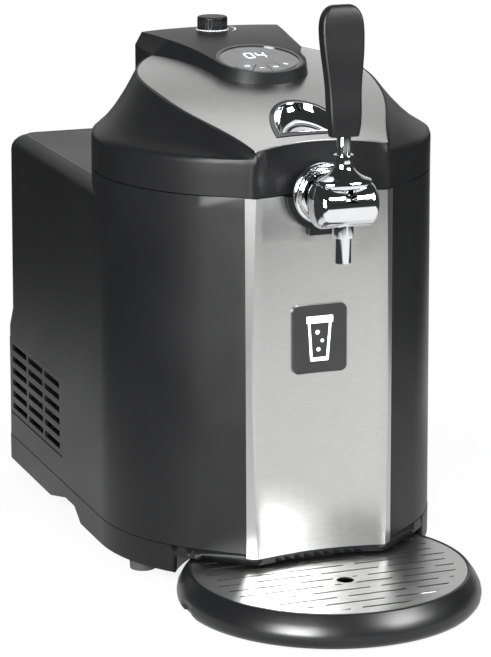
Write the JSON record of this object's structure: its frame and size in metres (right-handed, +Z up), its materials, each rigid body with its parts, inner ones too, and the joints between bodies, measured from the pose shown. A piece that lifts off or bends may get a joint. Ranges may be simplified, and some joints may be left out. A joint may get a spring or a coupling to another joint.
{
  "type": "mini keg beer dispenser",
  "caption": "Counter-top cooled dispenser for a small keg: a hinged lid with a round display, a chrome front tap with a lever handle, and a round drip tray.",
  "frame": {"origin": "on the floor under the middle of the part, which is the axis of the keg well", "axes": "+Z up, -Y towards the tap, X across"},
  "size_m": [0.2656, 0.5176, 0.4515],
  "materials": {
    "shell_black": "fine satin grain",
    "gloss_black": "polished",
    "inner_plastic": "plain moulding",
    "steel_brushed": "fine lengthwise brushing",
    "chrome": "polished",
    "aluminium": "plain drawn",
    "brass": "machined",
    "rubber": "moulded",
    "foam": "rigid foam",
    "circuit": "solder mask",
    "steel_screw": "plated",
    "ceramic": "ground",
    "key_grey": "satin"
  },
  "bodies": {
    "housing": {"badge_plate": "gloss_black", "base_plate": "inner_plastic", "base_plinth": "shell_black", "base_screws": "steel_screw", "body_shell": "shell_black", "cold_block": "aluminium", "cover_screws": "steel_screw", "fan_frame": "inner_plastic", "front_panel": "steel_brushed", "heat_sink": "aluminium", "hinge_bracket": "inner_plastic", "hinge_pin": "steel_screw", "keg_well_liner": "aluminium", "latch_catches": "inner_plastic", "peltier_module": "ceramic", "power_inlet": "gloss_black", "power_supply": "circuit", "rear_cover": "shell_black", "rear_deck": "shell_black", "rubber_feet": "rubber", "shank_nut": "brass", "tap_body": "chrome", "tap_collar": "gloss_black", "tap_flange": "chrome", "tap_shank": "chrome", "tap_spout": "chrome", "vent_grille_left": "shell_black", "vent_grille_right": "shell_black", "well_collar": "inner_plastic", "well_insulation": "foam"},
    "lid": {"lid_shell": "shell_black", "lid_top_plate": "steel_brushed", "lid_lining": "inner_plastic", "lid_insulation": "foam", "lid_seal": "rubber", "control_pod": "shell_black", "display_bezel": "gloss_black", "display_disc": "gloss_black", "control_board": "circuit", "gas_regulator": "brass", "cartridge_sleeve": "inner_plastic", "latch_rim": "gloss_black", "latch_cup": "chrome", "latch_pin": "steel_screw", "hinge_arm": "inner_plastic", "lid_screws": "steel_screw"},
    "latch": {"latch_paddle": "chrome", "latch_hooks": "inner_plastic"},
    "regulator_knob_body": {"regulator_knob": "shell_black"},
    "key_power_body": {"key_power": "key_grey"},
    "key_down_body": {"key_down": "key_grey"},
    "key_set_body": {"key_set": "key_grey"},
    "key_up_body": {"key_up": "key_grey"},
    "tap_lever": {"lever_saddle": "chrome", "lever_stem": "chrome", "tap_handle": "gloss_black"},
    "plunger": {"valve_plunger": "brass"},
    "tray": {"drip_tray": "shell_black", "drip_grille": "steel_brushed"},
    "fan": {"fan_rotor": "inner_plastic"}
  },
  "joints": [
    {"name": "lid_hinge", "type": "hinge", "parent": "housing", "child": "lid", "pos_m": [0, 0.137, 0.306], "axis": [-1, 0, 0], "range_deg": [0, 80]},
    {"name": "latch_release", "type": "hinge", "parent": "lid", "child": "latch", "pos_m": [0, -0.096, 0.335], "axis": [1, 0, 0], "range_deg": [0, 8], "stiffness_Nm_per_rad": 0.3},
    {"name": "gas_knob_turn", "type": "hinge", "parent": "lid", "child": "regulator_knob_body", "pos_m": [0, 0.108, 0.4], "axis": [0, 0, 1], "range_deg": [0, 270]},
    {"name": "key_power_press", "type": "slide", "parent": "lid", "child": "key_power_body", "axis": [0, 0.1822, -0.9833], "range_m": [0, 0.0008], "stiffness_N_per_m": 900},
    {"name": "key_down_press", "type": "slide", "parent": "lid", "child": "key_down_body", "axis": [0, 0.1822, -0.9833], "range_m": [0, 0.0008], "stiffness_N_per_m": 900},
    {"name": "key_set_press", "type": "slide", "parent": "lid", "child": "key_set_body", "axis": [0, 0.1822, -0.9833], "range_m": [0, 0.0008], "stiffness_N_per_m": 900},
    {"name": "key_up_press", "type": "slide", "parent": "lid", "child": "key_up_body", "axis": [0, 0.1822, -0.9833], "range_m": [0, 0.0008], "stiffness_N_per_m": 900},
    {"name": "tap_lever_pull", "type": "hinge", "parent": "housing", "child": "tap_lever", "pos_m": [0, -0.165, 0.3086], "axis": [1, 0, 0], "range_deg": [0, 40]},
    {"name": "valve_stroke", "type": "slide", "parent": "housing", "child": "plunger", "axis": [0, 1, 0], "range_m": [0, 0.006]},
    {"name": "tray_pull", "type": "slide", "parent": "housing", "child": "tray", "axis": [0, -1, 0], "range_m": [0, 0.13]},
    {"name": "fan_spin", "type": "hinge", "parent": "housing", "child": "fan", "pos_m": [0, 0.15, 0.112], "axis": [0, 1, 0], "continuous": true}
  ],
  "couplings": [
    {"joint": "valve_stroke", "follows": "tap_lever_pull", "m_per_rad": 0.008594}
  ]
}
